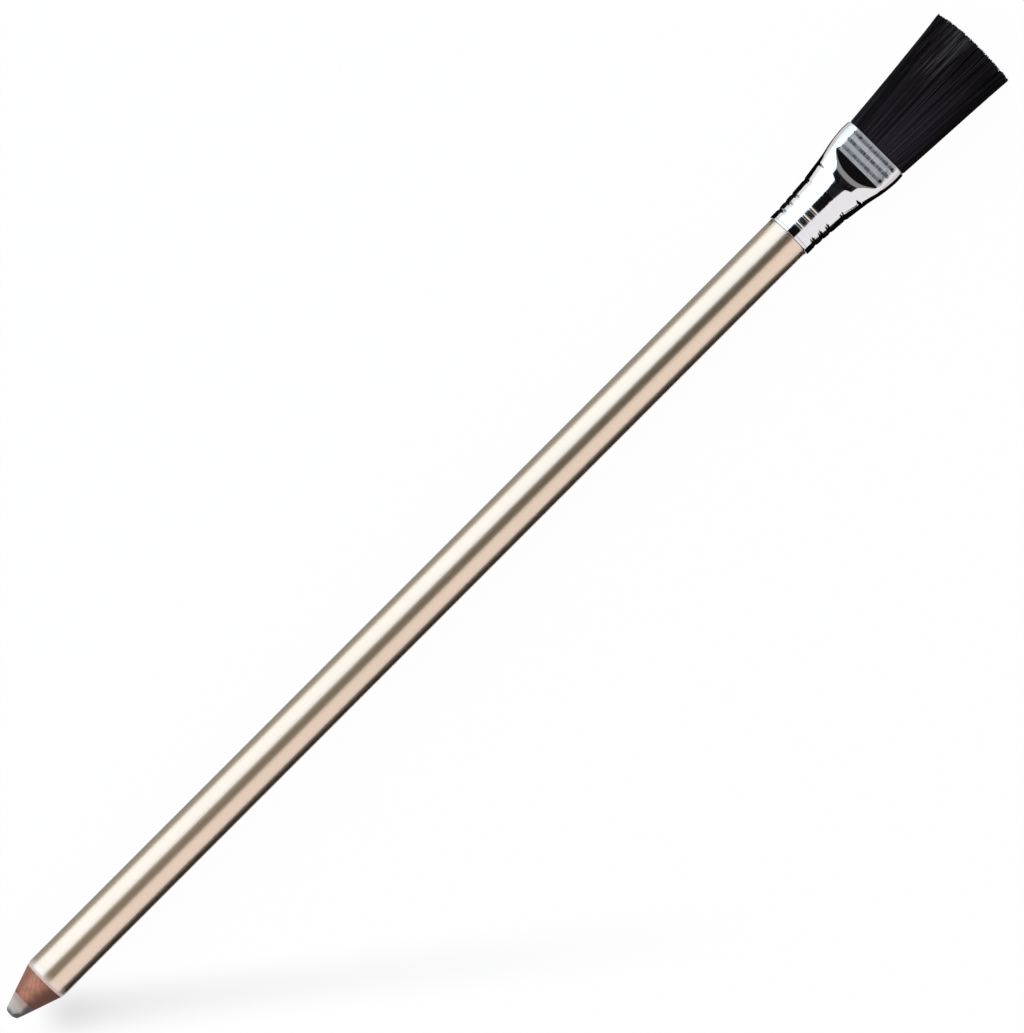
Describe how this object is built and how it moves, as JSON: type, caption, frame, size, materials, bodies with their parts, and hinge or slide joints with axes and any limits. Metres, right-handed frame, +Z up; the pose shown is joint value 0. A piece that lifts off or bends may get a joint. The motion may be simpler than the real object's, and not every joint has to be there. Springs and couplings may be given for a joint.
{
  "type": "pencil eraser stick",
  "caption": "Round lacquered cedar pencil with an eraser core, sharpened at one end, and a pressed metal ferrule with a flat bristle brush at the other.",
  "frame": {"origin": "on the table, under the middle of the whole length: the pencil lies on its side with the brush's flat faces up and down", "axes": "+X along the pencil from the eraser tip to the bristle ends, +Y across the brush's width, +Z up through the brush's thickness"},
  "size_m": [0.2098, 0.0148, 0.0089],
  "materials": {
    "cedar": "matte",
    "eraser_rubber": "matte",
    "lacquer": "gloss",
    "ferrule_metal": "polished",
    "resin": "satin",
    "bristle": "satin"
  },
  "bodies": {
    "root": {"casing_upper": "cedar", "casing_lower": "cedar", "eraser_core": "eraser_rubber", "lacquer_coat": "lacquer", "ferrule": "ferrule_metal", "resin_plug": "resin", "bristle_tuft": "bristle"}
  },
  "joints": []
}
